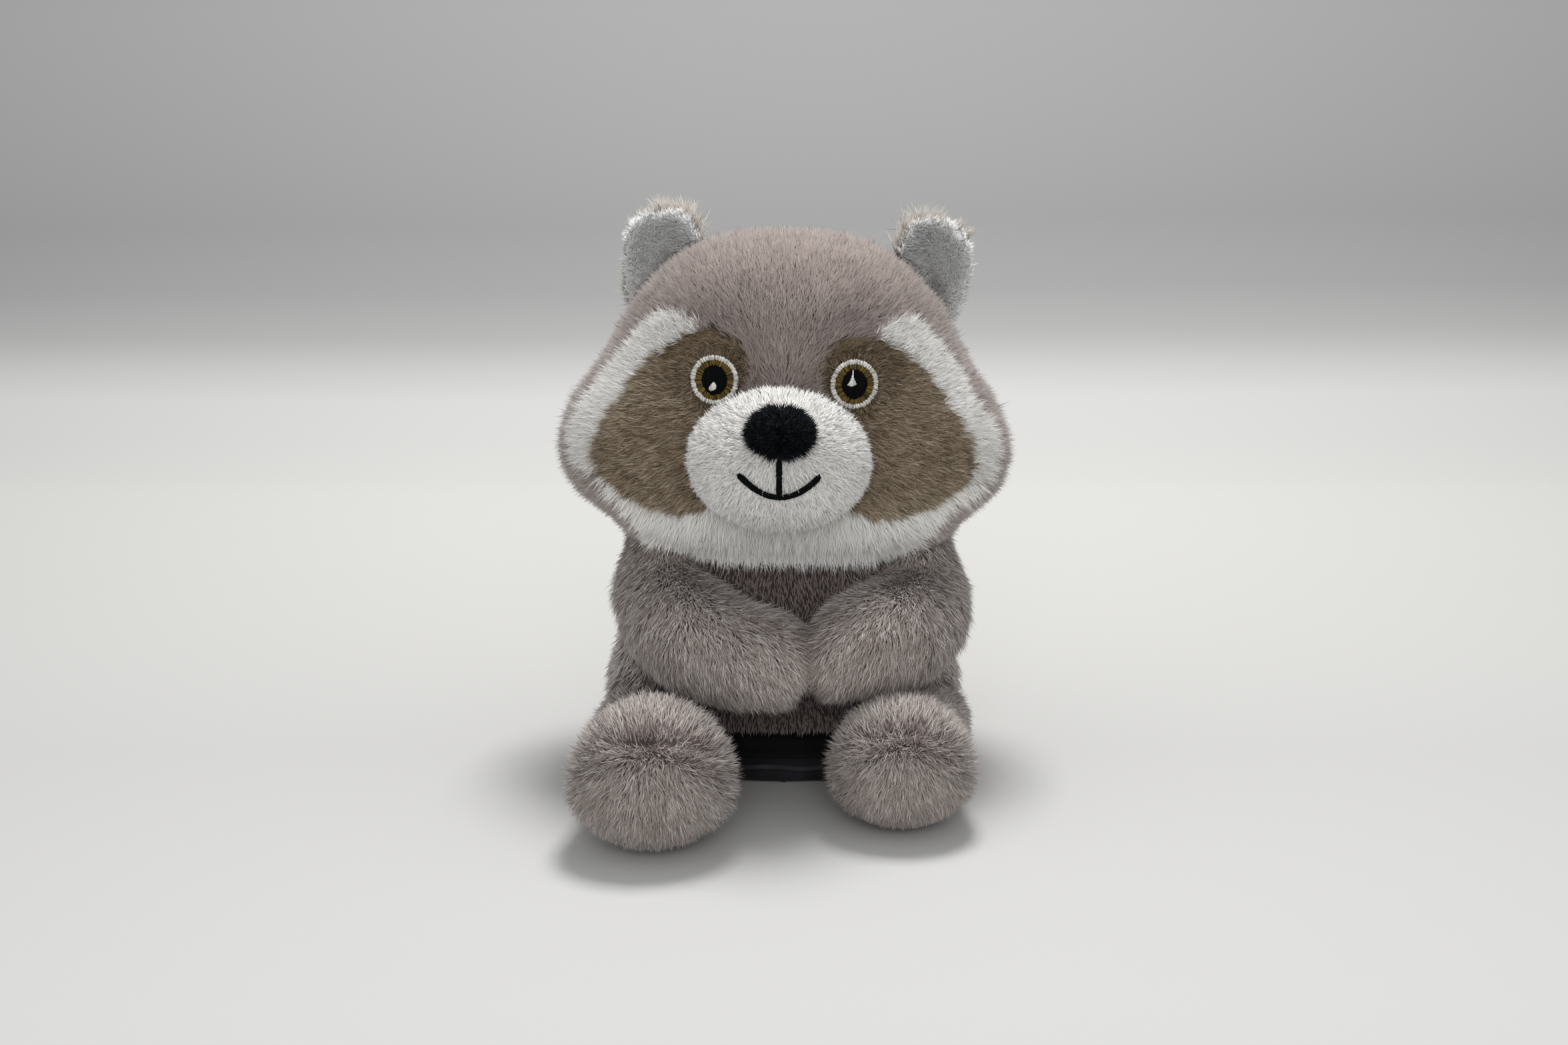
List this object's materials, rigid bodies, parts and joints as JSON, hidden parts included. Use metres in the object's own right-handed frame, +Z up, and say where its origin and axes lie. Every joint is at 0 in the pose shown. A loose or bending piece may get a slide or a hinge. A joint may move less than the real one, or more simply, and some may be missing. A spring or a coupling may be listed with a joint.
{
  "type": "sitting plush raccoon",
  "caption": "Small sitting plush raccoon with folded arms, round feet set forward, embroidered eyes, short-pile muzzle and a flat base pad to rest on.",
  "frame": {"origin": "centre of the flat underside of the base pad, on the floor", "axes": "+Z up, the face looks along -Y, the toy's left is at +X"},
  "size_m": [0.1387, 0.1677, 0.1746],
  "materials": {
    "grey_pile": "matt",
    "brown_pile": "matt",
    "white_pile": "matt",
    "white_short_pile": "matt",
    "black_pile": "matt",
    "black_thread": "satin",
    "white_thread": "satin",
    "gold_thread": "satin",
    "dark_cloth": "matt",
    "filling": "matt"
  },
  "bodies": {
    "root": {"arm_left": "grey_pile", "arm_right": "grey_pile", "base_pad": "dark_cloth", "base_pad_seam": "dark_cloth", "brow_stripe_left": "white_pile", "brow_stripe_right": "white_pile", "chin_panel": "white_pile", "crown_panel": "grey_pile", "ear_back_left": "grey_pile", "ear_back_right": "grey_pile", "ear_lining_left": "white_short_pile", "ear_lining_right": "white_short_pile", "eye_glint_left": "white_thread", "eye_glint_right": "white_thread", "eye_iris_left": "gold_thread", "eye_iris_right": "gold_thread", "eye_pupil_left": "black_thread", "eye_pupil_right": "black_thread", "eye_rim_left": "white_thread", "eye_rim_right": "white_thread", "head_back_panel": "grey_pile", "head_filling": "filling", "leg_left": "grey_pile", "leg_right": "grey_pile", "mask_panel_left": "brown_pile", "mask_panel_right": "brown_pile", "mouth_stitch": "black_thread", "muzzle": "white_short_pile", "nose": "black_pile", "seat": "dark_cloth", "sole_left": "grey_pile", "sole_right": "grey_pile", "tail_ring_1": "grey_pile", "tail_ring_2": "brown_pile", "tail_ring_3": "grey_pile", "tail_ring_4": "brown_pile", "tail_ring_5": "grey_pile", "torso": "grey_pile"}
  },
  "joints": []
}
